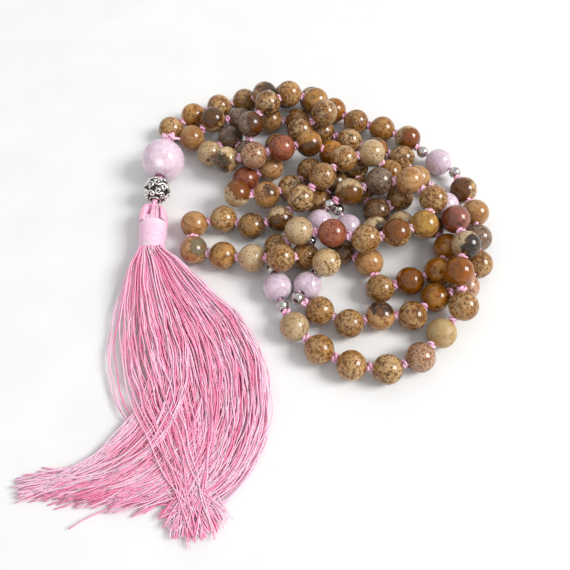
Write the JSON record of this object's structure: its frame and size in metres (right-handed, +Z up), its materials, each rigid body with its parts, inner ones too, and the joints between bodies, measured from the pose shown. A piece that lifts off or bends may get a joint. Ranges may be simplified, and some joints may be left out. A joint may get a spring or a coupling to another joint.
{
  "type": "mala prayer beads",
  "caption": "Hand-knotted strand of round stone beads with rose quartz markers, silver spacers, a large guru bead, a filigree bead and a thread tassel, lying in a loose heap.",
  "frame": {"origin": "middle of the base of the whole heap, on the surface that it lies on", "axes": "+Z up, -Y from the guru bead towards the tassel's fringe, +X towards the heap's far side from the tassel"},
  "size_m": [0.1262, 0.137, 0.0163],
  "materials": {
    "stone": "polished opaque patterned stone, tan to dark brown",
    "rose_quartz": "polished cloudy pale pink quartz",
    "silver": "bright polished silver",
    "oxidised_silver": "silver scroll-work over blackened recesses",
    "cord": "twisted pale pink silk cord",
    "tassel_thread": "glossy pink silk thread"
  },
  "bodies": {
    "strand": {"back_beads_01": "stone", "back_beads_02": "stone", "back_beads_03": "stone", "back_beads_04": "stone", "right_edge_beads_01": "stone", "right_edge_beads_02": "stone", "right_edge_beads_03": "stone", "inner_loop_beads_01": "stone", "inner_loop_beads_02": "stone", "inner_loop_beads_03": "stone", "heart_beads_01": "stone", "heart_beads_02": "stone", "heart_beads_03": "stone", "heart_beads_04": "stone", "heart_beads_05": "stone", "heart_beads_06": "stone", "heart_beads_07": "stone", "heart_beads_08": "stone", "heart_beads_09": "stone", "heart_beads_10": "stone", "heart_beads_11": "stone", "heart_beads_12": "stone", "heart_beads_13": "stone", "heart_beads_14": "stone", "top_layer_beads_01": "stone", "top_layer_beads_02": "stone", "top_layer_beads_03": "stone", "front_edge_beads_01": "stone", "front_edge_beads_02": "stone", "front_edge_beads_03": "stone", "return_beads_01": "stone", "return_beads_02": "stone", "return_beads_03": "stone", "guru_cord_and_knots": "cord"},
    "guru_bead_body": {"guru_bead": "rose_quartz"},
    "filigree_bead_body": {"filigree_bead": "oxidised_silver"},
    "rose_quartz_1_body": {"rose_quartz_1": "rose_quartz"},
    "rose_quartz_2_body": {"rose_quartz_2": "rose_quartz"},
    "rose_quartz_3_body": {"rose_quartz_3": "rose_quartz"},
    "rose_quartz_4_body": {"rose_quartz_4": "rose_quartz"},
    "rose_quartz_5_body": {"rose_quartz_5": "rose_quartz"},
    "rose_quartz_6_body": {"rose_quartz_6": "rose_quartz"},
    "silver_spacer_1a_body": {"silver_spacer_1a": "silver"},
    "silver_spacer_1b_body": {"silver_spacer_1b": "silver"},
    "silver_spacer_2a_body": {"silver_spacer_2a": "silver"},
    "silver_spacer_2b_body": {"silver_spacer_2b": "silver"},
    "silver_spacer_3a_body": {"silver_spacer_3a": "silver"},
    "silver_spacer_3b_body": {"silver_spacer_3b": "silver"},
    "silver_spacer_4a_body": {"silver_spacer_4a": "silver"},
    "silver_spacer_4b_body": {"silver_spacer_4b": "silver"},
    "silver_spacer_5a_body": {"silver_spacer_5a": "silver"},
    "silver_spacer_5b_body": {"silver_spacer_5b": "silver"},
    "silver_spacer_6a_body": {"silver_spacer_6a": "silver"},
    "silver_spacer_6b_body": {"silver_spacer_6b": "silver"},
    "tassel_loop_body": {"tassel_loop": "cord"},
    "tassel": {"tassel_head": "tassel_thread", "tassel_neck_wrap": "cord", "tassel_fringe": "tassel_thread"}
  },
  "joints": [
    {"name": "guru_bead_turn", "type": "hinge", "parent": "strand", "child": "guru_bead_body", "pos_m": [-0.03333, 0.03734, 0.0065], "axis": [0.1083, 0.9931, 0.0451], "continuous": true},
    {"name": "filigree_bead_turn", "type": "hinge", "parent": "strand", "child": "filigree_bead_body", "pos_m": [-0.03454, 0.02634, 0.006], "axis": [0.1083, 0.9931, 0.0451], "continuous": true},
    {"name": "rose_quartz_1_turn", "type": "hinge", "parent": "strand", "child": "rose_quartz_1_body", "pos_m": [0.0513, 0.03556, 0.004], "axis": [0.7263, -0.6874, 0.0008], "continuous": true},
    {"name": "rose_quartz_2_turn", "type": "hinge", "parent": "strand", "child": "rose_quartz_2_body", "pos_m": [0.00907, -0.00633, 0.004], "axis": [0.4741, 0.7981, -0.3719], "continuous": true},
    {"name": "rose_quartz_3_turn", "type": "hinge", "parent": "strand", "child": "rose_quartz_3_body", "pos_m": [0.02155, 0.0124, 0.004], "axis": [-0.4263, 0.8539, 0.2985], "continuous": true},
    {"name": "rose_quartz_4_turn", "type": "hinge", "parent": "strand", "child": "rose_quartz_4_body", "pos_m": [0.01341, 0.01357, 0.00513], "axis": [0.4759, 0.6808, 0.5568], "continuous": true},
    {"name": "rose_quartz_5_turn", "type": "hinge", "parent": "strand", "child": "rose_quartz_5_body", "pos_m": [0.00077, -0.00643, 0.004], "axis": [0.2044, -0.978, 0.0421], "continuous": true},
    {"name": "rose_quartz_6_turn", "type": "hinge", "parent": "strand", "child": "rose_quartz_6_body", "pos_m": [0.05097, 0.0192, 0.004], "axis": [-0.3005, 0.9531, 0.0368], "continuous": true},
    {"name": "silver_spacer_1a_turn", "type": "hinge", "parent": "strand", "child": "silver_spacer_1a_body", "pos_m": [0.04691, 0.03972, 0.004], "axis": [0.7263, -0.6874, 0.0008], "continuous": true},
    {"name": "silver_spacer_1b_turn", "type": "hinge", "parent": "strand", "child": "silver_spacer_1b_body", "pos_m": [0.05569, 0.0314, 0.004], "axis": [0.7263, -0.6874, 0.0008], "continuous": true},
    {"name": "silver_spacer_2a_turn", "type": "hinge", "parent": "strand", "child": "silver_spacer_2a_body", "pos_m": [0.0062, -0.01116, 0.00625], "axis": [0.4741, 0.7981, -0.3719], "continuous": true},
    {"name": "silver_spacer_2b_turn", "type": "hinge", "parent": "strand", "child": "silver_spacer_2b_body", "pos_m": [0.01193, -0.0015, 0.00175], "axis": [0.4741, 0.7981, -0.3719], "continuous": true},
    {"name": "silver_spacer_3a_turn", "type": "hinge", "parent": "strand", "child": "silver_spacer_3a_body", "pos_m": [0.02413, 0.00723, 0.00219], "axis": [-0.4263, 0.8539, 0.2985], "continuous": true},
    {"name": "silver_spacer_3b_turn", "type": "hinge", "parent": "strand", "child": "silver_spacer_3b_body", "pos_m": [0.01897, 0.01757, 0.00581], "axis": [-0.4263, 0.8539, 0.2985], "continuous": true},
    {"name": "silver_spacer_4a_turn", "type": "hinge", "parent": "strand", "child": "silver_spacer_4a_body", "pos_m": [0.01053, 0.00945, 0.00176], "axis": [0.4759, 0.6808, 0.5568], "continuous": true},
    {"name": "silver_spacer_4b_turn", "type": "hinge", "parent": "strand", "child": "silver_spacer_4b_body", "pos_m": [0.01629, 0.01769, 0.0085], "axis": [0.4759, 0.6808, 0.5568], "continuous": true},
    {"name": "silver_spacer_5a_turn", "type": "hinge", "parent": "strand", "child": "silver_spacer_5a_body", "pos_m": [-0.00047, -0.00051, 0.00375], "axis": [0.2044, -0.978, 0.0421], "continuous": true},
    {"name": "silver_spacer_5b_turn", "type": "hinge", "parent": "strand", "child": "silver_spacer_5b_body", "pos_m": [0.002, -0.01234, 0.00426], "axis": [0.2044, -0.978, 0.0421], "continuous": true},
    {"name": "silver_spacer_6a_turn", "type": "hinge", "parent": "strand", "child": "silver_spacer_6a_body", "pos_m": [0.05279, 0.01344, 0.00378], "axis": [-0.3005, 0.9531, 0.0368], "continuous": true},
    {"name": "silver_spacer_6b_turn", "type": "hinge", "parent": "strand", "child": "silver_spacer_6b_body", "pos_m": [0.04915, 0.02497, 0.00422], "axis": [-0.3005, 0.9531, 0.0368], "continuous": true},
    {"name": "tassel_swing", "type": "hinge", "parent": "strand", "child": "tassel_loop_body", "pos_m": [-0.03494, 0.02124, 0.0054], "axis": [0, 0, 1], "range_deg": [-60, 0]},
    {"name": "tassel_lift", "type": "hinge", "parent": "tassel_loop_body", "child": "tassel", "pos_m": [-0.03494, 0.02124, 0.0054], "axis": [-1, 0, 0], "range_deg": [0, 60]}
  ]
}
